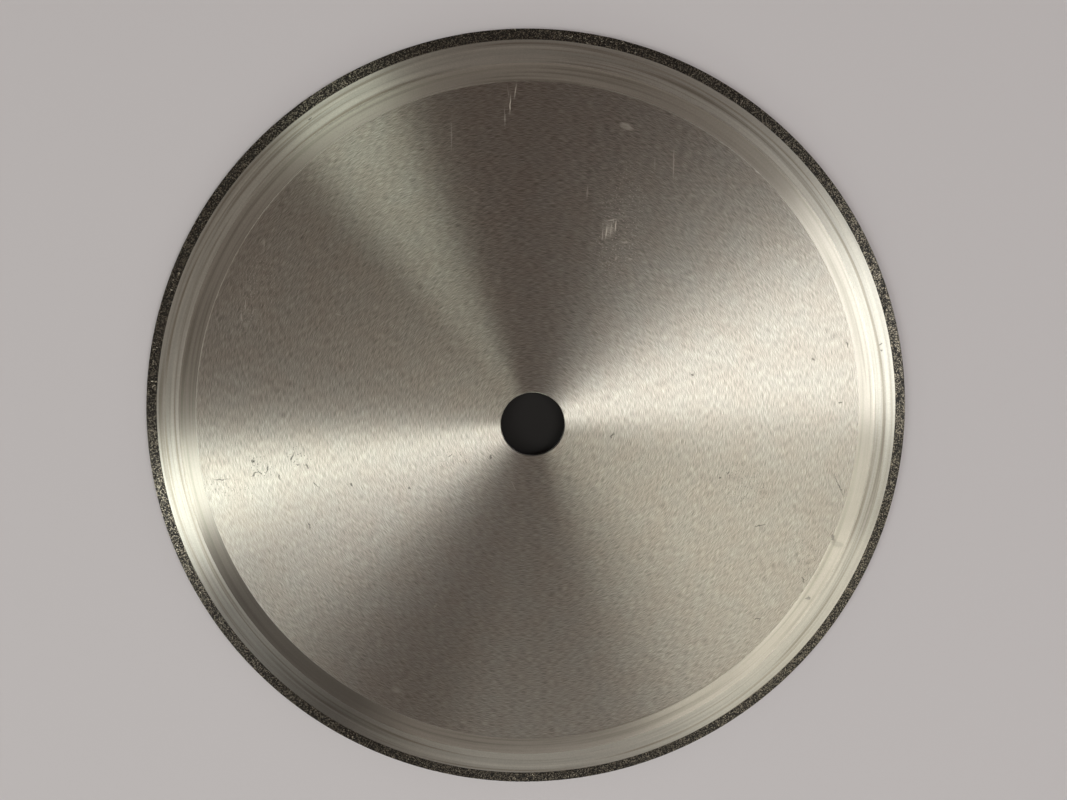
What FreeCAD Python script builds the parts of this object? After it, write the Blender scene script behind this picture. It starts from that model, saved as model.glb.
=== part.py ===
# Saw blade with a CBN rim: a thin ground steel core that carries a bonded abrasive rim.
# Units are millimetres. The blade's axis is Z, and the origin is the centre of the bore at half
# the thickness, so both sides are alike and the blade lies flat on its rim.
#
# steel_core     disc with the bore, a relieved web, a ground band and a tongue round its edge
# abrasive_rim   ring moulded round that tongue, a little thicker than the core

import FreeCAD, Part
import Sketcher
import os

# Driving sizes: alias, value, meaning.
SIZES = [
    ("blade_diameter", 300.0, "outside of the abrasive rim"),
    ("bore_diameter", 25.4, "bore that seats on the spindle"),
    ("bore_chamfer", 0.2, "break of both bore edges"),
    ("rim_thickness", 2.0, "width of the cut"),
    ("rim_depth", 4.0, "usable abrasive, along the radius"),
    ("rim_edge_radius", 0.15, "wear-in of the two cutting corners"),
    ("side_clearance", 0.1, "how far the rim stands proud of the land, each side"),
    ("land_width", 8.3, "flat ground land next to the rim, along the radius"),
    ("ramp_width", 6.9, "ground ramp from the web up to the land, along the radius"),
    ("web_relief", 0.1, "how far the web lies below the land, each side"),
    ("step_width", 0.4, "narrow step where the ramp starts, along the radius"),
    ("step_height", 0.04, "height of that step"),
    ("tongue_depth", 1.2, "how far the core's tongue reaches into the rim"),
    ("tongue_tip_thickness", 0.8, "flat left at the tip of the tongue"),
]

# Radii, and heights above the mid-plane, worked out from the sheet.
RIM_RADIUS = "(sizes.blade_diameter / 2)"
CORE_RADIUS = f"({RIM_RADIUS} - sizes.rim_depth)"
TONGUE_RADIUS = f"({CORE_RADIUS} + sizes.tongue_depth)"
LAND_RADIUS = f"({CORE_RADIUS} - sizes.land_width)"
RAMP_RADIUS = f"({LAND_RADIUS} - sizes.ramp_width)"
STEP_RADIUS = f"({RAMP_RADIUS} + sizes.step_width)"
BORE_RADIUS = "(sizes.bore_diameter / 2)"
RIM_HEIGHT = "(sizes.rim_thickness / 2)"
LAND_HEIGHT = f"({RIM_HEIGHT} - sizes.side_clearance)"
WEB_HEIGHT = f"({LAND_HEIGHT} - sizes.web_relief)"
STEP_HEIGHT = f"({WEB_HEIGHT} + sizes.step_height)"
TONGUE_TIP_HEIGHT = "(sizes.tongue_tip_thickness / 2)"

# Half sections above the mid-plane: each corner is a radius and a height.
# Both pieces take the tongue's flank from one list, so the rim always fits the core.
TONGUE_FLANK = [(CORE_RADIUS, LAND_HEIGHT), (TONGUE_RADIUS, TONGUE_TIP_HEIGHT)]
CORE_HALF_SECTION = [
    (BORE_RADIUS, WEB_HEIGHT),
    (RAMP_RADIUS, WEB_HEIGHT),
    (STEP_RADIUS, STEP_HEIGHT),
    (LAND_RADIUS, LAND_HEIGHT),
    *TONGUE_FLANK,
]
RIM_HALF_SECTION = [
    *reversed(TONGUE_FLANK),
    (CORE_RADIUS, RIM_HEIGHT),
    (RIM_RADIUS, RIM_HEIGHT),
]

# Numbers that a sketch gives to its own origin and horizontal axis, and to a line's two ends.
ORIGIN = -1
HORIZONTAL_AXIS = -1
START = 1
END = 2

FULL_TURN = 360.0
SAME_RADIUS = 1e-6


def make_sheet(document):
    """Spreadsheet with one row for each driving size."""
    sheet = document.addObject("Spreadsheet::Sheet", "sizes")
    for row, (alias, value, meaning) in enumerate(SIZES, start=1):
        sheet.set(f"A{row}", meaning)
        sheet.set(f"B{row}", str(value))
        sheet.setAlias(f"B{row}", alias)
    document.recompute()
    return sheet


def origin_plane(body, role):
    """The body's own origin plane with the given role."""
    for feature in body.Origin.OriginFeatures:
        if feature.Role == role:
            return feature
    raise ValueError(f"{body.Label} has no {role}")


def make_section(body, half_section):
    """Closed sketch on the XZ plane: the half section and its mirror image below the mid-plane.

    Each corner above is held by its radius and height, bound to the sheet, and each one below
    is symmetric to it about the mid-plane.
    """
    sketch = body.newObject("Sketcher::SketchObject", f"{body.Name}_section")
    sketch.AttachmentSupport = (origin_plane(body, "XZ_Plane"), [""])
    sketch.MapMode = "FlatFace"
    body.Document.recompute()

    upper = []
    for radius, height in half_section:
        x = float(sketch.evalExpression(radius))
        y = float(sketch.evalExpression(height))
        upper.append(FreeCAD.Vector(x, y, 0))
    lower = [FreeCAD.Vector(point.x, -point.y, 0) for point in reversed(upper)]
    points = upper + lower
    last = len(points) - 1
    for line, start in enumerate(points):
        end = points[0] if line == last else points[line + 1]
        sketch.addGeometry(Part.LineSegment(start, end), False)
    for line in range(len(points)):
        following = 0 if line == last else line + 1
        sketch.addConstraint(Sketcher.Constraint("Coincident", line, END, following, START))

    for line, (radius, height) in enumerate(half_section):
        at = upper[line]
        across = Sketcher.Constraint("DistanceX", ORIGIN, START, line, START, at.x)
        sketch.setExpression(f"Constraints[{sketch.addConstraint(across)}]", radius)
        up = Sketcher.Constraint("DistanceY", ORIGIN, START, line, START, at.y)
        sketch.setExpression(f"Constraints[{sketch.addConstraint(up)}]", height)
        twin = last - line
        mirrored = Sketcher.Constraint("Symmetric", line, START, twin, START, HORIZONTAL_AXIS)
        sketch.addConstraint(mirrored)
    return sketch


def revolve(body, sketch):
    """Full turn of a section about the blade's axis."""
    turned = body.newObject("PartDesign::Revolution", f"{body.Name}_turned")
    turned.Profile = sketch
    turned.ReferenceAxis = (sketch, ["V_Axis"])
    turned.Angle = FULL_TURN
    body.Document.recompute()
    return turned


def round_edges(feature, radius):
    """Names of a feature's circular edges of one radius."""
    names = []
    for number, edge in enumerate(feature.Shape.Edges, start=1):
        circular = isinstance(edge.Curve, Part.Circle)
        if circular and abs(edge.Curve.Radius - radius) < SAME_RADIUS:
            names.append(f"Edge{number}")
    return names


def finish_edges(body, turned, kind, radius, size):
    """Chamfer or Fillet on the two edges at a radius, with its size bound to the sheet."""
    edges = round_edges(turned, float(turned.evalExpression(radius)))
    finish = body.newObject(f"PartDesign::{kind}", f"{body.Name}_{kind.lower()}")
    finish.Base = (turned, edges)
    property_name = "Size" if kind == "Chamfer" else "Radius"
    finish.setExpression(property_name, size)
    turned.Visibility = False
    body.Tip = finish
    return finish


def make_turned_body(document, label):
    """Empty body at the blade's own origin."""
    body = document.addObject("PartDesign::Body", label)
    body.Label = label
    body.Placement = FreeCAD.Placement()
    return body


def make_steel_core(document):
    """Turned and ground disc, with both bore edges broken."""
    body = make_turned_body(document, "steel_core")
    turned = revolve(body, make_section(body, CORE_HALF_SECTION))
    finish_edges(body, turned, "Chamfer", BORE_RADIUS, "sizes.bore_chamfer")
    return body


def make_abrasive_rim(document):
    """Bonded ring on the tongue, with both cutting corners worn round."""
    body = make_turned_body(document, "abrasive_rim")
    turned = revolve(body, make_section(body, RIM_HALF_SECTION))
    finish_edges(body, turned, "Fillet", RIM_RADIUS, "sizes.rim_edge_radius")
    return body


def check_document(document, bodies):
    """Stop if a feature failed or a body has no valid solid."""
    for item in document.Objects:
        if "Invalid" in item.State or "Error" in item.State:
            raise RuntimeError(f"{item.Name} failed: {item.State}")
    for body in bodies:
        if body.Shape.isNull() or not body.Shape.isValid():
            raise RuntimeError(f"{body.Label} has no valid shape")
        if len(body.Shape.Solids) != 1:
            raise RuntimeError(f"{body.Label} has {len(body.Shape.Solids)} solids")


def main():
    """Build the blade and write one file for each piece."""
    document = FreeCAD.newDocument("saw_blade")
    make_sheet(document)
    bodies = [make_steel_core(document), make_abrasive_rim(document)]
    document.recompute()
    check_document(document, bodies)

    os.makedirs("parts", exist_ok=True)
    for body in bodies:
        box = body.Shape.optimalBoundingBox()
        print(
            f"{body.Label}: {body.Shape.Volume:.1f} mm3, diameter {box.XLength:.3f},"
            f" thickness {box.ZLength:.3f}"
        )
        body.Shape.exportStep(f"parts/{body.Label}.step")


main()
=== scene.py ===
"""Looks of a saw blade: the ground faces of its steel core, its bonded abrasive rim, studio and camera.

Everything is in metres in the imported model's frame. Patterns are worked out in millimetres.
"""

import logging
import math
import random
from dataclasses import dataclass
from enum import Enum

import bpy
from mathutils import Matrix, Vector


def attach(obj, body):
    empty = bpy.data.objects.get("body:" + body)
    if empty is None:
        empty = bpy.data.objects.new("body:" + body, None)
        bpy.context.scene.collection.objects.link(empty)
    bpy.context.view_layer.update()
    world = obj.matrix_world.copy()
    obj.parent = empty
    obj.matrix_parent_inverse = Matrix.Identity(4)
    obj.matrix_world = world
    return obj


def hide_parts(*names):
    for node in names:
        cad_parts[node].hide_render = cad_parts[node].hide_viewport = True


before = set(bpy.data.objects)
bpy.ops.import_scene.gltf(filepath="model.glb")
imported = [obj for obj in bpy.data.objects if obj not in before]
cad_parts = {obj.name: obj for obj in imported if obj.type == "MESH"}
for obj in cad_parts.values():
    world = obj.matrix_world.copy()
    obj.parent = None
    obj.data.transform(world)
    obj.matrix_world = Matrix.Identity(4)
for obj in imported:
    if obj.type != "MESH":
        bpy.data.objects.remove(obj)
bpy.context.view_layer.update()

LOG = logging.getLogger("saw_blade")
MM = 0.001
BODY = "root"

# A mark is solid near its middle and fades out at MARK_REACH times its length and width.
MARK_REACH = 0.55
MARK_FADE = 0.59
# Size of the lobes of a mark's ragged outline.
MARK_LOBE = 1.4
# Distance between the patterns of two stroke directions, so that they don't repeat each other.
STROKE_SHIFT = 31.0
# Half of the soft edge of a drawn speck, as a share of its radius.
SPECK_EDGE = 0.3


def hex_to_linear(code: str) -> tuple[float, float, float, float]:
    """Turn an sRGB hex colour to linear.

    Args:
        code: Six hex digits, such as "c8c4b8".

    Returns:
        Linear red, green and blue, and an alpha of 1.
    """
    parts = [int(code[i : i + 2], 16) / 255 for i in (0, 2, 4)]
    linear = [c / 12.92 if c <= 0.04045 else ((c + 0.055) / 1.055) ** 2.4 for c in parts]
    return (linear[0], linear[1], linear[2], 1.0)


def add(
    tree: bpy.types.NodeTree,
    kind: str,
    settings: dict[str, object] | None = None,
    inputs: dict[str | int, object] | None = None,
) -> bpy.types.Node:
    """Add one node with its settings and links.

    Args:
        tree: Node tree that gets the node.
        kind: Type name of the node.
        settings: Attributes of the node.
        inputs: For each socket, a value to set or an output socket to link.

    Returns:
        The new node.
    """
    node = tree.nodes.new(kind)
    for name, value in (settings or {}).items():
        setattr(node, name, value)
    for socket, value in (inputs or {}).items():
        if isinstance(value, bpy.types.NodeSocket):
            tree.links.new(value, node.inputs[socket])
        else:
            node.inputs[socket].default_value = value
    return node


@dataclass(frozen=True)
class BladeSizes:
    """Rings of the blade, in millimetres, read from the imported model's own corners."""

    bore: float
    ramp: float
    step: float
    land: float
    core: float
    tongue: float
    corner: float
    rim: float
    land_height: float
    tongue_height: float
    half_thickness: float

    @classmethod
    def from_frame(cls) -> "BladeSizes":
        """Read the rings from the corners of the two pieces' half sections."""
        core = upper_corners("steel_core")
        rim = upper_corners("abrasive_rim")
        core_radii = [radius for radius, _ in core]
        thickest = max(height for _, height in rim)
        flat_top = [radius for radius, height in rim if height == thickest]
        return cls(
            bore=core_radii[0],
            ramp=core_radii[2],
            step=core_radii[3],
            land=core_radii[4],
            core=core_radii[5],
            tongue=core_radii[6],
            corner=flat_top[-1],
            rim=max(radius for radius, _ in rim),
            land_height=core[5][1],
            tongue_height=core[6][1],
            half_thickness=thickest,
        )


def upper_corners(node: str) -> list[tuple[float, float]]:
    """List the corners of a turned piece's half section above the mid-plane.

    Args:
        node: Name of the piece.

    Returns:
        Radius and height of each corner in millimetres, from the inside out.
    """
    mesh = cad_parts[node].data
    corners = {(round(v.co.xy.length / MM, 2), round(v.co.z / MM, 2)) for v in mesh.vertices}
    return sorted(corner for corner in corners if corner[1] > 0)


@dataclass(frozen=True)
class RingCoordinates:
    """Sockets that say where a shaded point lies on the blade, in millimetres."""

    place: bpy.types.NodeSocket
    radius: bpy.types.NodeSocket
    outward: bpy.types.NodeSocket

    @classmethod
    def build(cls, tree: bpy.types.NodeTree) -> "RingCoordinates":
        """Make the coordinates from the object's own place.

        Args:
            tree: Node tree of the material.

        Returns:
            Sockets for place, radius and outward direction.
        """
        source = add(tree, "ShaderNodeTexCoord").outputs["Object"]
        place = add(
            tree, "ShaderNodeVectorMath", {"operation": "SCALE"}, {0: source, "Scale": 1 / MM}
        ).outputs[0]
        axes = add(tree, "ShaderNodeSeparateXYZ", None, {0: place})
        x, y = axes.outputs["X"], axes.outputs["Y"]
        flat = add(tree, "ShaderNodeCombineXYZ", None, {"X": x, "Y": y}).outputs[0]
        length = {"operation": "LENGTH"}
        radius = add(tree, "ShaderNodeVectorMath", length, {0: flat}).outputs["Value"]
        unit = {"operation": "NORMALIZE"}
        outward = add(tree, "ShaderNodeVectorMath", unit, {0: flat}).outputs[0]
        return cls(place, radius, outward)

    def between(
        self, tree: bpy.types.NodeTree, inner: float, outer: float
    ) -> bpy.types.NodeSocket:
        """Rise smoothly from 0 at one radius to 1 at a larger one.

        Args:
            tree: Node tree of the material.
            inner: Radius where the value is 0.
            outer: Radius where the value is 1.

        Returns:
            Value from 0 to 1.
        """
        smooth = {"interpolation_type": "SMOOTHSTEP"}
        inputs = {"Value": self.radius, "From Min": inner, "From Max": outer}
        return add(tree, "ShaderNodeMapRange", smooth, inputs).outputs[0]

    def rings(
        self, tree: bpy.types.NodeTree, spacing: float, arc: float
    ) -> bpy.types.NodeSocket:
        """Make fine lines that run round the bore and fade along their length.

        Args:
            tree: Node tree of the material.
            spacing: Distance between lines.
            arc: Length of a line in turns of the blade.

        Returns:
            Noise from 0 to 1.
        """
        turned = add(
            tree,
            "ShaderNodeVectorMath",
            {"operation": "SCALE"},
            {0: self.outward, "Scale": 1 / (math.tau * arc)},
        ).outputs[0]
        axes = add(tree, "ShaderNodeSeparateXYZ", None, {0: turned})
        depth = add(
            tree, "ShaderNodeMath", {"operation": "DIVIDE"}, {0: self.radius, 1: spacing}
        ).outputs[0]
        point = add(
            tree,
            "ShaderNodeCombineXYZ",
            None,
            {"X": axes.outputs["X"], "Y": axes.outputs["Y"], "Z": depth},
        ).outputs[0]
        inputs = {"Vector": point, "Scale": 1.0, "Detail": 2.0, "Roughness": 0.6}
        return add(tree, "ShaderNodeTexNoise", None, inputs).outputs[0]


@dataclass(frozen=True)
class BandRing:
    """Ring that the edge of the grinding wheel left on the band; the light ring at the ramp's outer
    edge is a painted highlight instead.
    """

    radius: float
    width: float
    shade: float


class Damage(Enum):
    """Kinds of small damage on the bare steel, and a painted dark reflection on the band."""

    PIT = "dark nick"
    STAIN = "soft dark patch"
    # Painted dark reflection: darkens the ramp of the band where its fine surface would mirror
    # something dark.
    PAINTED_DARK_REFLECTION = "dull grey arc on the band"
    SCRATCH = "light scratch"
    PITTED = "area of fine dark pits"
    SPECKED = "area of fine light specks"

    @property
    def sway(self) -> float:
        """How far a mark's outline strays, in millimetres: a scratch is nearly straight."""
        return 0.6 if self is Damage.SCRATCH else 2.0


@dataclass(frozen=True)
class WearMark:
    """One mark on the face that shows, in millimetres and degrees from the bore's own axes."""

    kind: Damage
    x: float
    y: float
    length: float
    width: float
    turn: float
    strength: float = 1.0


@dataclass(frozen=True)
class GroundSteel:
    """Hardened tool steel, surface ground on a turning table and left bare.

    The marks run round the blade, so a lamp shows as a bright wedge that points at the bore.
    Short crossing strokes make the wedge grainy, and the band next to the rim was ground once
    more, finer, which leaves it brighter and ringed with wheel marks.

    Attributes:
        name: Name of the material.
        colour: The web.
        cloud_colour: The web where the grinding left it greyer.
        cloud_size: Size of those patches.
        cloud_shade: Darkest and lightest level of the patches.
        band_colour: The band on its ridges.
        groove_colour: The band in the lines that the wheel left.
        scuff_colour: Torn steel in a scratch.
        roughness: Gloss. It stays above 0.274, or the render turns it dotted, unless haze is high.
        roughness_spread: How much duller a ring line is.
        lay: How much wider the gloss is across the marks than along them.
        haze: Share of the light that the band scatters to all sides.
        stroke_length: Length of a grinding stroke.
        stroke_width: Its width, coarser than the real one, which is too fine to render.
        stroke_directions: Number of directions in half a turn.
        stroke_core: Angle to the ring, in degrees, up to which a stroke shows in full.
        stroke_spread: Angle to the ring, in degrees, at which it is gone.
        stroke_share: Strength of the strokes of one direction.
        stroke_contrast: How far the strokes change the colour.
        grain: Size of the fine grain, again coarser than the real one.
        grain_contrast: How far the grain changes the colour.
        speck_spacing: Distance between specks.
        speck_radius: Radius of a speck.
        ring_spacing: Distance between ring lines.
        ring_arc: Length of a ring line in turns of the blade.
        ring_depth: Depth of a ring line.
        ring_shade: Darkest and lightest level of the ring lines.
        fade_spacing: Width of the stretches in which the wheel marks fade.
        fade_arc: Their length in turns of the blade.
        lay_wobble: How far a mark turns the gloss, in degrees.
    """

    name: str = "steel_ground_bare"
    colour: str = "9e998e"
    cloud_colour: str = "9d9a90"
    cloud_size: float = 11.0
    cloud_shade: tuple[float, float] = (0.95, 1.05)
    band_colour: str = "b6b4a9"
    groove_colour: str = "9a9486"
    scuff_colour: str = "d2cbbd"
    roughness: float = 0.275
    roughness_spread: float = 0.03
    lay: float = 0.95
    haze: float = 0.15
    stroke_length: float = 3.0
    stroke_width: float = 0.18
    stroke_directions: int = 12
    stroke_core: float = 6.0
    stroke_spread: float = 30.0
    stroke_contrast: float = 0.85
    stroke_share: float = 0.45
    grain: float = 0.26
    grain_contrast: float = 0.32
    speck_spacing: float = 1.3
    speck_radius: float = 0.2
    ring_spacing: float = 1.1
    ring_arc: float = 0.09
    ring_depth: float = 0.003
    ring_shade: tuple[float, float] = (0.76, 1.2)
    fade_spacing: float = 3.0
    fade_arc: float = 0.05
    lay_wobble: float = 2.4

    def build(self, sizes: BladeSizes) -> bpy.types.Material:
        """Make the material.

        Args:
            sizes: Rings of the blade.

        Returns:
            The finished material.
        """
        material = bpy.data.materials.new(self.name)
        material.use_nodes = True
        tree = material.node_tree
        tree.nodes.clear()
        ring = RingCoordinates.build(tree)
        band = ring.between(tree, sizes.ramp, sizes.step)
        strokes = self.strokes(tree, ring)
        rings = ring.rings(tree, self.ring_spacing, self.ring_arc)
        scuffs = self.wear(tree, ring, sizes, Damage.SCRATCH)
        specks = self.specks(tree, ring, sizes, Damage.SPECKED)
        scuffs = add(
            tree, "ShaderNodeMath", {"operation": "MAXIMUM"}, {0: scuffs, 1: specks}
        ).outputs[0]
        colour = add(
            tree,
            "ShaderNodeMix",
            {"data_type": "RGBA"},
            {
                0: scuffs,
                6: self.tone(tree, ring, band, strokes, rings),
                7: hex_to_linear(self.scuff_colour),
            },
        ).outputs[2]
        stains = self.wear(tree, ring, sizes, Damage.STAIN)
        nicks = self.wear(tree, ring, sizes, Damage.PIT)
        pits = self.specks(tree, ring, sizes, Damage.PITTED)
        # Painted dark reflection on the ramp, kept to the band.
        dark_reflection_paint = add(
            tree,
            "ShaderNodeMath",
            {"operation": "MULTIPLY"},
            {0: self.wear(tree, ring, sizes, Damage.PAINTED_DARK_REFLECTION), 1: band},
        ).outputs[0]
        # Darken the colour under stains, the painted dark reflection, nicks and pits.
        for cover, loss in ((stains, 0.55), (dark_reflection_paint, 0.45), (nicks, 0.4), (pits, 0.3)):
            kept = add(tree, "ShaderNodeMix", None, {0: cover, 2: 1.0, 3: loss}).outputs[0]
            colour = add(
                tree, "ShaderNodeVectorMath", {"operation": "SCALE"}, {0: colour, "Scale": kept}
            ).outputs[0]
        roughness = add(
            tree,
            "ShaderNodeMath",
            {"operation": "MULTIPLY_ADD"},
            {0: rings, 1: self.roughness_spread, 2: self.roughness},
        ).outputs[0]
        hazy = add(
            tree, "ShaderNodeMath", {"operation": "MULTIPLY_ADD"}, {0: band, 1: -self.haze, 2: 1.0}
        ).outputs[0]
        metallic = add(
            tree, "ShaderNodeMath", {"operation": "SUBTRACT", "use_clamp": True}, {0: hazy, 1: scuffs}
        ).outputs[0]
        normal = self.relief(tree, band, rings)
        marks = add(tree, "ShaderNodeMix", None, {0: band, 2: strokes, 3: rings}).outputs[0]
        tangent = self.lay_direction(tree, ring, marks)
        shader = add(
            tree,
            "ShaderNodeBsdfPrincipled",
            None,
            {
                "Base Color": colour,
                "Metallic": metallic,
                "Roughness": roughness,
                "Anisotropic": self.lay,
                "Tangent": tangent,
                "Normal": normal,
            },
        ).outputs[0]
        add(tree, "ShaderNodeOutputMaterial", None, {"Surface": shader})
        return material

    def strokes(
        self, tree: bpy.types.NodeTree, ring: RingCoordinates
    ) -> bpy.types.NodeSocket:
        """Make short grinding strokes that cross at small angles to the rings.

        Straight strokes are drawn in several directions, and each direction only shows where it
        lies near enough to the ring through the point. They are drawn a little wider than the
        real ones, which would vanish in the render.

        Args:
            tree: Node tree of the material.
            ring: Coordinates on the blade.

        Returns:
            Strength of the strokes, about 0 to 1.
        """
        total: bpy.types.NodeSocket | float = 0.0
        near = math.sin(math.radians(self.stroke_core))
        far = math.sin(math.radians(self.stroke_spread))
        for count in range(self.stroke_directions):
            turn = math.pi * count / self.stroke_directions
            stretched = add(
                tree,
                "ShaderNodeMapping",
                {"vector_type": "TEXTURE"},
                {
                    "Vector": ring.place,
                    "Location": (STROKE_SHIFT * count, 0.0, 0.0),
                    "Rotation": (0.0, 0.0, turn),
                    "Scale": (self.stroke_length, self.stroke_width, 1.0),
                },
            ).outputs[0]
            noise = add(
                tree,
                "ShaderNodeTexNoise",
                {"noise_dimensions": "2D"},
                {"Vector": stretched, "Scale": 1.0, "Detail": 0.0},
            ).outputs[0]
            peaks = add(
                tree, "ShaderNodeMapRange", None, {"Value": noise, "From Min": 0.3, "From Max": 0.7}
            ).outputs[0]
            across = add(
                tree,
                "ShaderNodeVectorMath",
                {"operation": "DOT_PRODUCT"},
                {0: ring.outward, 1: (math.cos(turn), math.sin(turn), 0.0)},
            ).outputs["Value"]
            off = add(tree, "ShaderNodeMath", {"operation": "ABSOLUTE"}, {0: across}).outputs[0]
            shown = add(
                tree,
                "ShaderNodeMapRange",
                {"interpolation_type": "SMOOTHSTEP"},
                {
                    "Value": off,
                    "From Min": near,
                    "From Max": far,
                    "To Min": self.stroke_share,
                    "To Max": 0.0,
                },
            ).outputs[0]
            total = add(
                tree,
                "ShaderNodeMath",
                {"operation": "MULTIPLY_ADD"},
                {0: peaks, 1: shown, 2: total},
            ).outputs[0]
        return total

    def wear(
        self, tree: bpy.types.NodeTree, ring: RingCoordinates, sizes: BladeSizes, kind: Damage
    ) -> bpy.types.NodeSocket:
        """Cover the face that lies up with one kind of damage or with the painted dark reflection, each
        mark with a ragged outline.

        Args:
            tree: Node tree of the material.
            ring: Coordinates on the blade.
            sizes: Rings of the blade.
            kind: Damage to draw.

        Returns:
            Each mark's strength inside it, and 0 outside.
        """
        sway = kind.sway
        ragged = add(
            tree,
            "ShaderNodeTexNoise",
            None,
            {"Vector": ring.place, "Scale": 1 / MARK_LOBE, "Detail": 2.0},
        ).outputs["Color"]
        moved = add(
            tree,
            "ShaderNodeVectorMath",
            {"operation": "MULTIPLY_ADD"},
            {0: ragged, 1: (sway, sway, 0.0), 2: ring.place},
        ).outputs[0]
        cover: bpy.types.NodeSocket | float = 0.0
        for mark in WEAR_MARKS:
            if mark.kind is not kind:
                continue
            local = add(
                tree,
                "ShaderNodeMapping",
                {"vector_type": "TEXTURE"},
                {
                    "Vector": moved,
                    "Location": (mark.x + sway / 2, mark.y + sway / 2, sizes.land_height),
                    "Rotation": (0.0, 0.0, math.radians(mark.turn)),
                    "Scale": (MARK_REACH * mark.length, MARK_REACH * mark.width, MARK_REACH),
                },
            ).outputs[0]
            inside = add(
                tree, "ShaderNodeTexGradient", {"gradient_type": "SPHERICAL"}, {"Vector": local}
            ).outputs["Fac"]
            own = add(
                tree,
                "ShaderNodeMapRange",
                {"interpolation_type": "SMOOTHSTEP"},
                {"Value": inside, "From Max": MARK_FADE, "To Max": mark.strength},
            ).outputs[0]
            cover = add(
                tree, "ShaderNodeMath", {"operation": "MAXIMUM"}, {0: own, 1: cover}
            ).outputs[0]
        return cover

    def specks(
        self, tree: bpy.types.NodeTree, ring: RingCoordinates, sizes: BladeSizes, kind: Damage
    ) -> bpy.types.NodeSocket:
        """Scatter specks over the areas of one kind, drawn a little wider than the real ones.

        Args:
            tree: Node tree of the material.
            ring: Coordinates on the blade.
            sizes: Rings of the blade.
            kind: Kind of area.

        Returns:
            Up to the area's strength inside a speck, and 0 outside.
        """
        cells = add(
            tree,
            "ShaderNodeTexVoronoi",
            {"voronoi_dimensions": "2D"},
            {"Vector": ring.place, "Scale": 1 / self.speck_spacing},
        )
        reach = self.speck_radius / self.speck_spacing
        speck = add(
            tree,
            "ShaderNodeMapRange",
            {"interpolation_type": "SMOOTHSTEP"},
            {
                "Value": cells.outputs["Distance"],
                "From Min": (1 - SPECK_EDGE) * reach,
                "From Max": (1 + SPECK_EDGE) * reach,
                "To Min": 1.0,
                "To Max": 0.0,
            },
        ).outputs[0]
        draw = add(tree, "ShaderNodeSeparateColor", None, {0: cells.outputs["Color"]})
        depth = add(
            tree,
            "ShaderNodeMapRange",
            None,
            {"Value": draw.outputs[0], "From Min": 0.25, "From Max": 0.8},
        ).outputs[0]
        speck = add(
            tree, "ShaderNodeMath", {"operation": "MULTIPLY"}, {0: speck, 1: depth}
        ).outputs[0]
        area = self.wear(tree, ring, sizes, kind)
        return add(
            tree, "ShaderNodeMath", {"operation": "MULTIPLY"}, {0: speck, 1: area}
        ).outputs[0]

    def tone(
        self,
        tree: bpy.types.NodeTree,
        ring: RingCoordinates,
        band: bpy.types.NodeSocket,
        strokes: bpy.types.NodeSocket,
        rings: bpy.types.NodeSocket,
    ) -> bpy.types.NodeSocket:
        """Colour the steel: greyer web, brighter band, wheel marks with a painted highlight at the
        ramp's outer edge, and strokes.

        Args:
            tree: Node tree of the material.
            ring: Coordinates on the blade.
            band: 1 on the ground band.
            strokes: Strength of the strokes.
            rings: Ring lines.

        Returns:
            Base colour.
        """
        cloud = add(
            tree,
            "ShaderNodeTexNoise",
            None,
            {"Vector": ring.place, "Scale": 1 / self.cloud_size, "Detail": 3.0},
        ).outputs
        web = add(
            tree,
            "ShaderNodeMix",
            {"data_type": "RGBA"},
            {
                0: add(
                    tree,
                    "ShaderNodeMapRange",
                    None,
                    {"Value": cloud[0], "From Min": 0.35, "From Max": 0.65},
                ).outputs[0],
                6: hex_to_linear(self.colour),
                7: hex_to_linear(self.cloud_colour),
            },
        ).outputs[2]
        brown = add(
            tree,
            "ShaderNodeMapRange",
            None,
            {"Value": rings, "From Min": 0.5, "From Max": 0.3},
        ).outputs[0]
        ground = add(
            tree,
            "ShaderNodeMix",
            {"data_type": "RGBA"},
            {0: brown, 6: hex_to_linear(self.band_colour), 7: hex_to_linear(self.groove_colour)},
        ).outputs[2]
        base = add(
            tree, "ShaderNodeMix", {"data_type": "RGBA"}, {0: band, 6: web, 7: ground}
        ).outputs[2]
        low, high = self.cloud_shade
        level = add(
            tree, "ShaderNodeMapRange", None, {"Value": cloud[0], "To Min": low, "To Max": high}
        ).outputs[0]
        low, high = self.ring_shade
        uneven = add(
            tree, "ShaderNodeMapRange", None, {"Value": rings, "To Min": low, "To Max": high}
        ).outputs[0]
        streaky = add(tree, "ShaderNodeMix", None, {0: band, 2: 1.0, 3: uneven}).outputs[0]
        grain = add(
            tree,
            "ShaderNodeMapRange",
            {"clamp": False},
            {
                "Value": strokes,
                "To Min": 1 - self.stroke_contrast / 2,
                "To Max": 1 + self.stroke_contrast / 2,
            },
        ).outputs[0]
        fine = add(tree, "ShaderNodeMix", None, {0: band, 2: grain, 3: 1.0}).outputs[0]
        speck = add(
            tree,
            "ShaderNodeTexNoise",
            None,
            {"Vector": ring.place, "Scale": 1 / self.grain, "Detail": 0.0},
        ).outputs[0]
        speckled = add(
            tree,
            "ShaderNodeMapRange",
            None,
            {
                "Value": speck,
                "To Min": 1 - self.grain_contrast / 2,
                "To Max": 1 + self.grain_contrast / 2,
            },
        ).outputs[0]
        for factor in (speckled, streaky, fine, self.wheel_marks_and_edge_highlight(tree, ring)):
            level = add(
                tree, "ShaderNodeMath", {"operation": "MULTIPLY"}, {0: level, 1: factor}
            ).outputs[0]
        return add(
            tree, "ShaderNodeVectorMath", {"operation": "SCALE"}, {0: base, "Scale": level}
        ).outputs[0]

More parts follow.
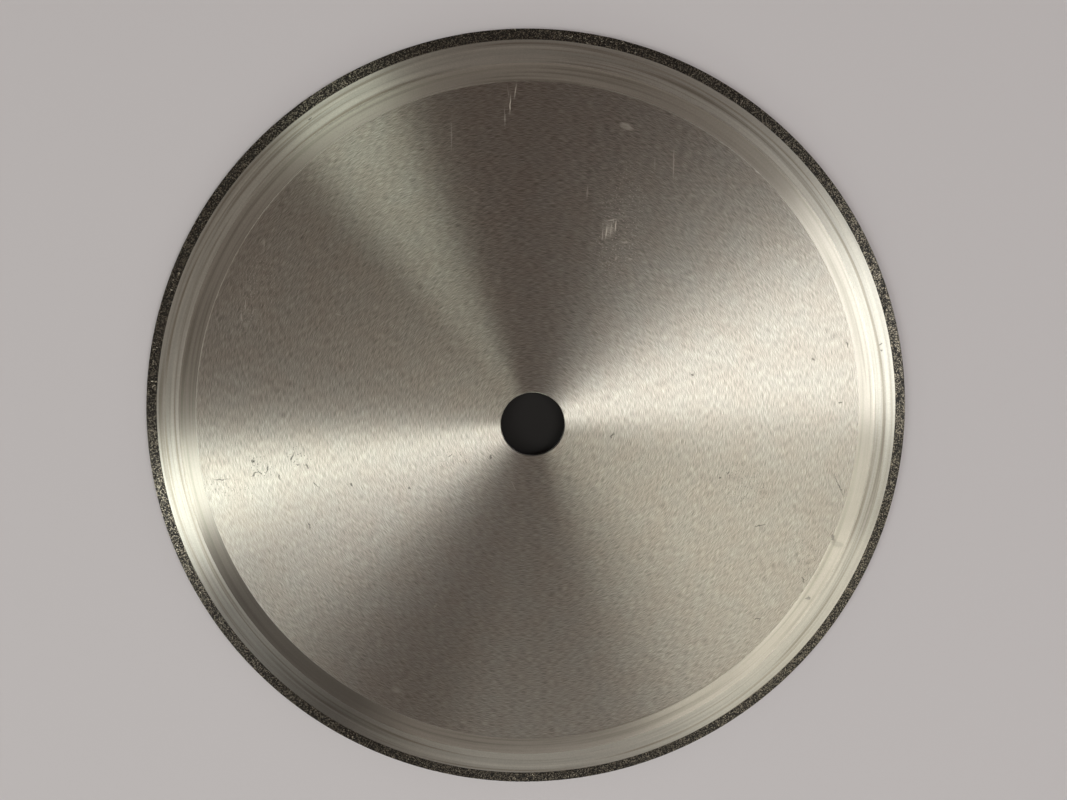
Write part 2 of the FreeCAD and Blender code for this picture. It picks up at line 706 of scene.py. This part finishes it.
    def wheel_marks_and_edge_highlight(
        self, tree: bpy.types.NodeTree, ring: RingCoordinates
    ) -> bpy.types.NodeSocket:
        """Shade the rings that the wheel left on the band, and the painted highlight at the ramp's
        outer edge, stronger and weaker along their length.

        Args:
            tree: Node tree of the material.
            ring: Coordinates on the blade.

        Returns:
            Level to multiply the colour by, about 1.
        """
        marked: bpy.types.NodeSocket | float = 0.0
        for mark in WHEEL_MARKS_AND_EDGE_HIGHLIGHT:
            away = add(
                tree,
                "ShaderNodeMath",
                {"operation": "SUBTRACT"},
                {0: ring.radius, 1: mark.radius},
            ).outputs[0]
            near = add(tree, "ShaderNodeMath", {"operation": "ABSOLUTE"}, {0: away}).outputs[0]
            shade = add(
                tree,
                "ShaderNodeMapRange",
                {"interpolation_type": "SMOOTHSTEP"},
                {"Value": near, "From Max": mark.width, "To Min": mark.shade - 1, "To Max": 0.0},
            ).outputs[0]
            marked = add(
                tree, "ShaderNodeMath", {"operation": "ADD"}, {0: shade, 1: marked}
            ).outputs[0]
        fading = add(
            tree,
            "ShaderNodeMapRange",
            None,
            {
                "Value": ring.rings(tree, self.fade_spacing, self.fade_arc),
                "From Min": 0.35,
                "From Max": 0.6,
                "To Min": 0.15,
                "To Max": 1.0,
            },
        ).outputs[0]
        return add(
            tree, "ShaderNodeMath", {"operation": "MULTIPLY_ADD"}, {0: marked, 1: fading, 2: 1.0}
        ).outputs[0]

    def relief(
        self,
        tree: bpy.types.NodeTree,
        band: bpy.types.NodeSocket,
        rings: bpy.types.NodeSocket,
    ) -> bpy.types.NodeSocket:
        """Cut the ring lines into the band.

        Args:
            tree: Node tree of the material.
            band: 1 on the ground band.
            rings: Ring lines.

        Returns:
            Normal.
        """
        ringed = add(
            tree, "ShaderNodeMath", {"operation": "MULTIPLY"}, {0: rings, 1: band}
        ).outputs[0]
        return add(
            tree,
            "ShaderNodeBump",
            None,
            {"Strength": 1.0, "Distance": self.ring_depth * MM, "Height": ringed},
        ).outputs[0]

    def lay_direction(
        self,
        tree: bpy.types.NodeTree,
        ring: RingCoordinates,
        marks: bpy.types.NodeSocket,
    ) -> bpy.types.NodeSocket:
        """Point the wide side of the gloss away from the bore, a little off at each mark.

        Args:
            tree: Node tree of the material.
            ring: Coordinates on the blade.
            marks: Strokes or ring lines, from 0 to 1.

        Returns:
            Tangent.
        """
        wobble = math.radians(self.lay_wobble)
        swing = add(
            tree,
            "ShaderNodeMapRange",
            None,
            {"Value": marks, "From Min": 0.2, "From Max": 0.8, "To Min": -wobble, "To Max": wobble},
        ).outputs[0]
        return add(
            tree,
            "ShaderNodeVectorRotate",
            {"rotation_type": "Z_AXIS"},
            {"Vector": ring.outward, "Angle": swing},
        ).outputs[0]


@dataclass(frozen=True)
class BondedGrit:
    """Cubic boron nitride grit in a dark bond, pressed, fired and side ground.

    The bond is dull and nearly black. Grains that the last grinding cut flat glint like metal.

    Attributes:
        name: Name of the material.
        colour: The bond.
        grain_colour: Grains that were cut flat.
        shade: Darkest and lightest grain, as a multiple of the colour.
        roughness: Gloss of the ground side.
        lay: How much wider the gloss is across the grinding marks than along them.
        grain: Size of a grain, coarser than most real ones, which are too fine to render.
        bond_gloss: How glossy the bond is.
        glint: How metallic a flat grain looks.
        glinting_share: Share of the grains that were cut flat.
        draw_edge: Half of the soft edge of that share.
    """

    name: str = "cbn_grit_bonded_side_ground"
    colour: str = "24221e"
    grain_colour: str = "7a7467"
    shade: tuple[float, float] = (0.4, 1.6)
    roughness: float = 0.29
    lay: float = 0.95
    grain: float = 0.32
    bond_gloss: float = 0.15
    glint: float = 0.95
    glinting_share: float = 0.33
    draw_edge: float = 0.03

    def build(self, sizes: BladeSizes) -> bpy.types.Material:
        """Make the material.

        Args:
            sizes: Rings of the blade; not used.

        Returns:
            The finished material.
        """
        material = bpy.data.materials.new(self.name)
        material.use_nodes = True
        tree = material.node_tree
        tree.nodes.clear()
        ring = RingCoordinates.build(tree)
        cells = add(
            tree, "ShaderNodeTexVoronoi", None, {"Vector": ring.place, "Scale": 1 / self.grain}
        )
        draw = add(tree, "ShaderNodeSeparateColor", None, {0: cells.outputs["Color"]})
        flat = add(
            tree,
            "ShaderNodeMapRange",
            None,
            {
                "Value": draw.outputs[0],
                "From Min": 1 - self.glinting_share - self.draw_edge,
                "From Max": 1 - self.glinting_share + self.draw_edge,
                "To Max": self.glint,
            },
        ).outputs[0]
        shade = add(
            tree,
            "ShaderNodeMapRange",
            None,
            {"Value": draw.outputs[1], "To Min": self.shade[0], "To Max": self.shade[1]},
        ).outputs[0]
        mixed = add(
            tree,
            "ShaderNodeMix",
            {"data_type": "RGBA"},
            {0: flat, 6: hex_to_linear(self.colour), 7: hex_to_linear(self.grain_colour)},
        ).outputs[2]
        colour = add(
            tree, "ShaderNodeVectorMath", {"operation": "SCALE"}, {0: mixed, "Scale": shade}
        ).outputs[0]
        shader = add(
            tree,
            "ShaderNodeBsdfPrincipled",
            None,
            {
                "Base Color": colour,
                "Metallic": flat,
                "Specular IOR Level": self.bond_gloss,
                "Roughness": self.roughness,
                "Anisotropic": self.lay,
                "Tangent": ring.outward,
            },
        ).outputs[0]
        add(tree, "ShaderNodeOutputMaterial", None, {"Surface": shader})
        return material


@dataclass
class SteelCore:
    """The ground steel disc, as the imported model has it."""

    sizes: BladeSizes
    finish: GroundSteel
    ramp_finish: GroundSteel
    face_margin: float = 0.05

    def dress(self) -> bpy.types.Object:
        """Give the disc its finish, and the ground ramp its own.

        Returns:
            The disc.
        """
        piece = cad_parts["steel_core"]
        set_material(piece, self.finish.build(self.sizes))
        piece.data.materials.append(self.ramp_finish.build(self.sizes))
        for face in piece.data.polygons:
            radii = [piece.data.vertices[corner].co.xy.length / MM for corner in face.vertices]
            middle = sum(radii) / len(radii)
            if self.sizes.step + self.face_margin < middle < self.sizes.land - self.face_margin:
                face.material_index = 1
        return piece


@dataclass
class AbrasiveRim:
    """The bonded ring: ground flat, with real pits where grains have come out of the bond.

    Attributes:
        sizes: Rings of the blade.
        finish: Material of the ring.
        cell: Distance between the points of its surface.
        pitted_share: Share of the points that lie in a pit.
        pit_depth: Depth of the deepest pit.
        flatness: How far the other points stray.
        edge_margin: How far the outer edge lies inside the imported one.
        seed: Seed of the draws.
    """

    sizes: BladeSizes
    finish: BondedGrit
    cell: float = 0.4
    pitted_share: float = 0.12
    pit_depth: float = 0.09
    flatness: float = 0.004
    edge_margin: float = 0.045
    seed: int = 7

    def dress(self) -> bpy.types.Object:
        """Build the gritty ring and give it its finish.

        Returns:
            The ring.
        """
        outline = self.outline()
        around = round(math.tau * self.sizes.rim / self.cell)
        draw = random.Random(self.seed)
        points = []
        for step in range(around):
            turn = math.tau * step / around
            for radius, height, rough in outline:
                pitted = draw.random() < self.pitted_share
                deepest = self.pit_depth if pitted else self.flatness
                sink = draw.uniform(self.flatness, deepest) if rough else 0.0
                radius, height = self.sunk(radius, height, sink)
                points.append(
                    (radius * math.cos(turn) * MM, radius * math.sin(turn) * MM, height * MM)
                )
        across = len(outline)
        faces = []
        for step in range(around):
            here, ahead = step * across, (step + 1) % around * across
            for corner in range(across):
                following = (corner + 1) % across
                faces.append((here + corner, ahead + corner, ahead + following, here + following))
        mesh = bpy.data.meshes.new("gritty_rim")
        mesh.from_pydata(points, [], faces)
        piece = bpy.data.objects.new("gritty_rim", mesh)
        bpy.context.scene.collection.objects.link(piece)
        set_material(piece, self.finish.build(self.sizes))
        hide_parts("abrasive_rim")
        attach(piece, BODY)
        return piece

    def sunk(self, radius: float, height: float, sink: float) -> tuple[float, float]:
        """Move a point of the section into the ring, square to its surface.

        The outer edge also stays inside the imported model's flat facets.

        Args:
            radius: Radius of the point.
            height: Height of the point above the mid-plane.
            sink: How far it goes in.

        Returns:
            The new radius and height.
        """
        if radius >= self.sizes.rim:
            return radius - self.edge_margin - sink, height
        return radius, height - math.copysign(sink, height)

    def outline(self) -> list[tuple[float, float, bool]]:
        """List the section's points in order: radius, height, and whether it is gritty.

        Returns:
            The closed section, counterclockwise with the bore on the left.
        """
        s = self.sizes
        columns = round((s.corner - s.core) / self.cell)
        rows = round(2 * s.half_thickness / self.cell)
        worn = s.rim - s.corner
        top = [
            (s.core + (s.corner - s.core) * k / columns, s.half_thickness, 0 < k)
            for k in range(columns + 1)
        ]
        edge_height = s.half_thickness - worn
        edge = [(s.rim, edge_height * (1 - 2 * k / rows), True) for k in range(rows + 1)]
        bottom = [(radius, -height, rough) for radius, height, rough in reversed(top)]
        groove = [
            (s.core, -s.land_height, False),
            (s.tongue, -s.tongue_height, False),
            (s.tongue, s.tongue_height, False),
            (s.core, s.land_height, False),
        ]
        return top + edge + bottom + groove


def set_material(piece: bpy.types.Object, material: bpy.types.Material) -> None:
    """Put a material in a piece's only slot.

    Args:
        piece: Object to dress.
        material: Its finish.
    """
    if piece.material_slots:
        piece.material_slots[0].material = material
    else:
        piece.data.materials.append(material)


@dataclass(frozen=True)
class SoftBox:
    """Rectangular lamp that faces the bore, placed by azimuth and by its angle from straight up."""

    name: str
    azimuth: float
    zenith: float
    across: float
    along: float
    radiance: float
    tint: str = "ffffff"
    distance: float = 2.5

    def light(self) -> bpy.types.Object:
        """Add the lamp.

        Returns:
            The lamp's object.
        """
        turn = math.radians(self.azimuth)
        fall = math.radians(self.zenith)
        direction = Vector(
            (math.sin(fall) * math.cos(turn), math.sin(fall) * math.sin(turn), math.cos(fall))
        )
        data = bpy.data.lights.new(self.name, "AREA")
        data.shape = "RECTANGLE"
        data.size = 2 * self.distance * math.tan(math.radians(self.across) / 2)
        data.size_y = 2 * self.distance * math.tan(math.radians(self.along) / 2)
        data.color = hex_to_linear(self.tint)[:3]
        data.energy = self.radiance * math.pi * data.size * data.size_y
        lamp = bpy.data.objects.new(self.name, data)
        lamp.location = direction * self.distance
        side = Vector((-math.sin(turn), math.cos(turn), 0))
        up = direction.cross(side)
        lamp.rotation_euler = Matrix((side, up, direction)).transposed().to_euler()
        lamp.visible_camera = False
        bpy.context.scene.collection.objects.link(lamp)
        return lamp


@dataclass
class Studio:
    """Pale floor, dim ceiling, soft lamps and the camera of the photograph."""

    sizes: BladeSizes
    floor_colour: str = "d6d3d5"
    floor_radius: float = 1.8
    floor_sides: int = 96
    well_depth: float = 0.003
    # Near-black colour of the shallow hole under the bore: painted shade.
    bore_shade_colour: str = "1a1817"
    ceiling_colour: str = "48302a"
    wall_colour: str = "dcdad8"
    wall_top: float = 0.12
    ceiling_edge: float = 0.45
    matt: float = 0.9
    lens: float = 27.025
    tilt_x: float = 6.2160
    tilt_y: float = 2.2948
    blade_in_view: tuple[float, float, float] = (-0.000261, -0.009631, -0.316782)

    def build(self) -> None:
        """Make floor, world, lamps and camera."""
        self.make_floor()
        self.make_world()
        for box in LAMPS:
            box.light()
        self.make_camera()

    def make_floor(self) -> None:
        """Lay a pale sheet under the blade, with a shallow blind hole under the bore whose near-black
        colour is painted shade that leaves the bore dark.
        """
        z = -self.sizes.half_thickness * MM
        bore = self.sizes.bore * MM
        rings = [(self.floor_radius, z), (bore, z), (bore, z - self.well_depth)]
        points = []
        for radius, height in rings:
            for side in range(self.floor_sides):
                turn = math.tau * side / self.floor_sides
                points.append((radius * math.cos(turn), radius * math.sin(turn), height))
        sheet, wall = self.band_of_faces(0), self.band_of_faces(1)
        bottom = tuple(range(2 * self.floor_sides, 3 * self.floor_sides))
        self.stage_piece("floor", points, sheet, "foam_sheet_pale", self.floor_colour)
        # The hole under the bore is near-black: painted shade seen through the bore.
        self.stage_piece("well", points, wall + [bottom], "bore_painted_shade", self.bore_shade_colour)

    def band_of_faces(self, inner: int) -> list[tuple[int, ...]]:
        """Join one ring of the floor's points to the next.

        Args:
            inner: Number of the first of the two rings.

        Returns:
            Faces that look up or towards the bore's axis.
        """
        count = self.floor_sides
        first, second = inner * count, (inner + 1) * count
        faces = []
        for side in range(count):
            ahead = (side + 1) % count
            faces.append((first + side, first + ahead, second + ahead, second + side))
        return faces

    def stage_piece(
        self,
        name: str,
        points: list[tuple[float, float, float]],
        faces: list[tuple[int, ...]],
        finish: str,
        colour: str,
    ) -> None:
        """Add a plain matt piece of the stage.

        Args:
            name: Name of the piece.
            points: Corners in metres.
            faces: Faces between them.
            finish: Name of the material.
            colour: Its colour.
        """
        mesh = bpy.data.meshes.new(name)
        mesh.from_pydata(points, [], faces)
        piece = bpy.data.objects.new(name, mesh)
        bpy.context.scene.collection.objects.link(piece)
        material = bpy.data.materials.new(finish)
        material.use_nodes = True
        shader = material.node_tree.nodes["Principled BSDF"]
        shader.inputs["Base Color"].default_value = hex_to_linear(colour)
        shader.inputs["Roughness"].default_value = self.matt
        mesh.materials.append(material)

    def make_world(self) -> None:
        """Pale walls near the horizon and a dim warm ceiling."""
        world = bpy.data.worlds.new("studio")
        world.use_nodes = True
        tree = world.node_tree
        tree.nodes.clear()
        direction = add(tree, "ShaderNodeTexCoord").outputs["Generated"]
        height = add(tree, "ShaderNodeSeparateXYZ", None, {0: direction}).outputs["Z"]
        share = add(
            tree,
            "ShaderNodeMapRange",
            {"interpolation_type": "SMOOTHSTEP"},
            {"Value": height, "From Min": self.wall_top, "From Max": self.ceiling_edge},
        ).outputs[0]
        colour = add(
            tree,
            "ShaderNodeMix",
            {"data_type": "RGBA"},
            {0: share, 6: hex_to_linear(self.wall_colour), 7: hex_to_linear(self.ceiling_colour)},
        ).outputs[2]
        shade = add(tree, "ShaderNodeBackground", None, {"Color": colour}).outputs[0]
        add(tree, "ShaderNodeOutputWorld", None, {"Surface": shade})
        bpy.context.scene.world = world

    def make_camera(self) -> None:
        """Put the camera where the photograph was taken from, over the flat blade."""
        data = bpy.data.cameras.new("camera")
        data.lens = self.lens
        data.sensor_width = 36.0
        camera = bpy.data.objects.new("camera", data)
        turn = Matrix.Rotation(math.radians(self.tilt_x), 3, "X") @ Matrix.Rotation(
            math.radians(self.tilt_y), 3, "Y"
        )
        back = turn.transposed()
        place = -(back @ Vector(self.blade_in_view))
        place.z += self.sizes.half_thickness * MM
        camera.matrix_world = Matrix.Translation(place) @ back.to_4x4()
        bpy.context.scene.collection.objects.link(camera)
        bpy.context.scene.camera = camera


WHEEL_MARKS_AND_EDGE_HIGHLIGHT = (
    BandRing(134.0, 2.0, 0.94),
    # Painted highlight: a light ring along the outer edge of the ramp.
    BandRing(137.4, 1.2, 1.1),
    BandRing(139.6, 1.6, 1.06),
    BandRing(141.6, 1.3, 0.9),
    BandRing(143.2, 1.2, 1.08),
    BandRing(144.8, 1.1, 0.92),
)

WEAR_MARKS = (
    WearMark(Damage.PIT, -109.8, -14.0, 1.6, 1.2, 0.0),
    WearMark(Damage.PIT, -109.5, -19.2, 4.6, 0.7, 40.0),
    WearMark(Damage.PIT, -107.4, -18.6, 3.4, 0.7, -35.0),
    WearMark(Damage.PIT, -104.4, -17.2, 4.8, 0.7, 75.0),
    WearMark(Damage.PIT, -99.8, -20.4, 3.0, 0.7, 100.0),
    WearMark(Damage.PIT, -122.0, -21.2, 9.0, 0.5, 0.0),
    WearMark(Damage.PIT, -94.6, -12.6, 3.4, 0.8, 60.0),
    WearMark(Damage.PIT, -92.6, -15.4, 1.6, 1.0, 0.0),
    WearMark(Damage.PIT, -88.8, -16.2, 3.2, 0.7, -60.0),
    WearMark(Damage.PIT, -85.6, -23.6, 4.2, 0.6, -45.0),
    WearMark(Damage.PIT, -71.9, -23.5, 1.6, 1.3, 0.0),
    WearMark(Damage.PIT, -49.3, -25.4, 1.4, 1.2, 0.0),
    WearMark(Damage.PIT, -16.9, -12.9, 2.2, 1.4, 70.0),
    WearMark(Damage.PIT, -33.0, -12.4, 2.6, 0.7, 35.0),
    WearMark(Damage.PIT, -88.8, -40.0, 4.0, 0.8, -70.0),
    WearMark(Damage.PIT, 31.6, -4.7, 2.8, 0.7, 50.0),
    WearMark(Damage.PIT, 75.6, -22.2, 1.5, 1.1, 0.0),
    WearMark(Damage.PIT, 78.7, -20.2, 1.8, 0.9, 60.0),
    WearMark(Damage.PIT, 92.2, -42.0, 6.0, 0.7, 5.0),
    WearMark(Damage.PIT, 122.6, -47.4, 3.8, 1.6, -65.0),
    WearMark(Damage.PIT, 124.2, -26.0, 13.0, 0.5, -64.0),
    WearMark(Damage.PIT, 111.0, -65.0, 3.2, 0.8, -60.0),
    WearMark(Damage.PIT, 113.2, -72.8, 2.0, 1.7, 0.0),
    WearMark(Damage.PIT, 92.6, -81.2, 3.6, 0.6, 0.0),
    WearMark(Damage.PIT, 63.0, 19.6, 1.5, 1.1, 0.0),
    WearMark(Damage.PIT, 111.6, 25.6, 1.8, 1.4, -50.0),
    WearMark(Damage.PIT, 125.4, 31.0, 3.4, 0.7, -65.0),
    WearMark(Damage.PIT, 138.6, 31.2, 1.4, 0.9, 60.0),
    WearMark(Damage.PIT, 139.0, 29.0, 1.2, 0.8, 0.0),
    WearMark(Damage.PIT, 123.2, 8.0, 2.0, 1.0, 20.0),
    WearMark(Damage.PIT, -83.8, 116.5, 1.4, 0.8, 50.0),
    WearMark(Damage.STAIN, 124.5, -50.0, 7.0, 3.0, -20.0, 0.45),
    WearMark(Damage.STAIN, 93.0, -28.2, 4.0, 2.0, 0.0, 0.45),
    # Painted dark reflection on the ramp: a long dark arc, and a weaker darker patch.
    WearMark(Damage.PAINTED_DARK_REFLECTION, -96.8, -93.4, 124.0, 80.0, -46.0),
    WearMark(Damage.PAINTED_DARK_REFLECTION, 132.4, -23.4, 62.0, 60.0, 80.0, 0.4),
    WearMark(Damage.SCRATCH, -8.6, 122.2, 8.6, 0.46, 88.0, 0.8),
    WearMark(Damage.SCRATCH, -10.6, 117.4, 10.0, 0.42, 91.0, 0.45),
    WearMark(Damage.SCRATCH, -6.6, 127.2, 7.6, 0.42, 82.0, 0.5),
    WearMark(Damage.SCRATCH, -9.4, 127.2, 7.0, 0.42, 96.0, 0.32),
    WearMark(Damage.SCRATCH, -30.9, 110.4, 13.5, 0.46, 90.0, 0.4),
    WearMark(Damage.SCRATCH, -23.2, 90.6, 10.0, 0.46, -33.0, 0.34),
    WearMark(Damage.SCRATCH, 54.2, 100.8, 14.0, 0.6, 90.0, 0.6),
    WearMark(Damage.SCRATCH, 47.0, 101.0, 6.0, 0.5, 90.0, 0.4),
    WearMark(Damage.SCRATCH, 32.0, 77.0, 6.0, 0.56, 86.0, 1.0),
    WearMark(Damage.SCRATCH, 30.3, 76.0, 6.6, 0.5, 84.0, 0.8),
    WearMark(Damage.SCRATCH, 28.5, 75.0, 6.6, 0.62, 82.0, 1.0),
    WearMark(Damage.SCRATCH, 27.0, 73.6, 5.4, 0.5, 86.0, 0.75),
    WearMark(Damage.SCRATCH, 30.2, 79.4, 4.4, 0.5, 8.0, 0.8),
    WearMark(Damage.SCRATCH, 29.6, 76.0, 7.0, 4.6, 80.0, 0.22),
    WearMark(Damage.SCRATCH, 36.0, 71.0, 3.0, 1.2, 10.0, 0.6),
    WearMark(Damage.SCRATCH, 32.4, 65.0, 2.4, 1.2, 70.0, 0.5),
    WearMark(Damage.SCRATCH, 38.0, 64.6, 2.0, 1.2, 0.0, 0.5),
    WearMark(Damage.SCRATCH, 35.8, 114.6, 7.0, 3.0, -15.0, 0.3),
    WearMark(Damage.SCRATCH, 21.0, 90.0, 6.0, 0.8, 88.0, 0.45),
    WearMark(Damage.SCRATCH, -110.4, 47.0, 5.0, 0.6, 88.0, 0.5),
    WearMark(Damage.SCRATCH, -112.0, 42.0, 4.0, 0.6, 95.0, 0.5),
    WearMark(Damage.SCRATCH, -107.6, 44.4, 3.0, 0.6, 80.0, 0.4),
    WearMark(Damage.SCRATCH, -102.5, 70.0, 6.0, 0.5, 90.0, 0.35),
    WearMark(Damage.SCRATCH, -93.0, 69.0, 6.0, 0.5, 55.0, 0.35),
    WearMark(Damage.SCRATCH, -75.0, 43.2, 4.0, 0.6, -15.0, 0.3),
    WearMark(Damage.SCRATCH, -7.6, -25.0, 6.0, 0.6, -65.0, 0.4),
    WearMark(Damage.SCRATCH, -55.6, -109.0, 5.0, 2.6, -30.0, 0.2),
    WearMark(Damage.SCRATCH, -28.4, -123.6, 4.0, 1.4, 10.0, 0.2),
    WearMark(Damage.SCRATCH, -39.4, -73.8, 3.0, 0.9, 60.0, 0.35),
    WearMark(Damage.PITTED, -107.0, -15.5, 16.0, 11.0, -50.0),
    WearMark(Damage.PITTED, -92.0, -12.0, 14.0, 12.0, -30.0),
    WearMark(Damage.PITTED, -119.0, -25.0, 30.0, 13.0, -8.0, 0.6),
    WearMark(Damage.PITTED, -86.0, -38.0, 9.0, 8.0, 0.0, 0.6),
    WearMark(Damage.PITTED, -36.0, -14.0, 34.0, 9.0, 10.0, 0.5),
    WearMark(Damage.PITTED, 44.0, -16.0, 30.0, 12.0, -20.0, 0.4),
    WearMark(Damage.PITTED, 86.0, -26.0, 34.0, 24.0, -30.0, 0.6),
    WearMark(Damage.PITTED, 112.0, -56.0, 30.0, 18.0, -60.0, 0.6),
    WearMark(Damage.SPECKED, 34.0, 78.0, 60.0, 26.0, 80.0, 0.8),
    WearMark(Damage.SPECKED, -106.0, 52.0, 44.0, 20.0, 70.0, 0.5),
)

LAMPS = (
    SoftBox("right_bank", 2.8, 35.0, 16.6, 26.7, 3.5),
    SoftBox("right_fill", 23.4, 32.2, 19.0, 21.2, 0.25),
    SoftBox("left_bank", 202.5, 54.6, 16.3, 23.5, 6.5, "fbfffa"),
    SoftBox("left_strip", 205.4, 30.8, 5.6, 9.9, 9.8, "fbfffa"),
    SoftBox("front_low", 261.8, 81.1, 34.4, 5.9, 6.42, "f4fff0"),
    SoftBox("near_ceiling", 322.0, 22.8, 15.3, 3.4, 9.95, "fffdf4"),
    SoftBox("front_right", 313.4, 34.3, 22.8, 33.0, 1.0, "fffdf4"),
    SoftBox("front_fill", 282.8, 62.6, 36.3, 57.0, 0.64),
    SoftBox("back_strip", 126.0, 26.9, 9.0, 10.7, 4.1, "f6fff4"),
    SoftBox("small_window", 335.6, 11.8, 3.2, 10.6, 12.7),
    SoftBox("small_strip", 238.1, 15.2, 3.5, 4.2, 18.15),
)


def main() -> None:
    """Build the blade's looks in order and report each piece."""
    logging.basicConfig(level=logging.INFO, format="%(message)s")
    bpy.context.scene.view_settings.view_transform = "Standard"
    sizes = BladeSizes.from_frame()
    LOG.info("rings in mm: %s", sizes)
    ramp = GroundSteel(
        name="steel_ground_fine",
        band_colour="b2aea2",
        groove_colour="a09c8f",
        roughness=0.19,
        roughness_spread=0.0,
        lay=0.6,
        haze=0.3,
        ring_depth=0.0,
        lay_wobble=1.0,
    )
    core = SteelCore(sizes, GroundSteel(), ramp)
    for part in (core, AbrasiveRim(sizes, BondedGrit())):
        piece = part.dress()
        LOG.info("dressed %s", piece.name)
    Studio(sizes).build()


if __name__ == "__main__":
    main()
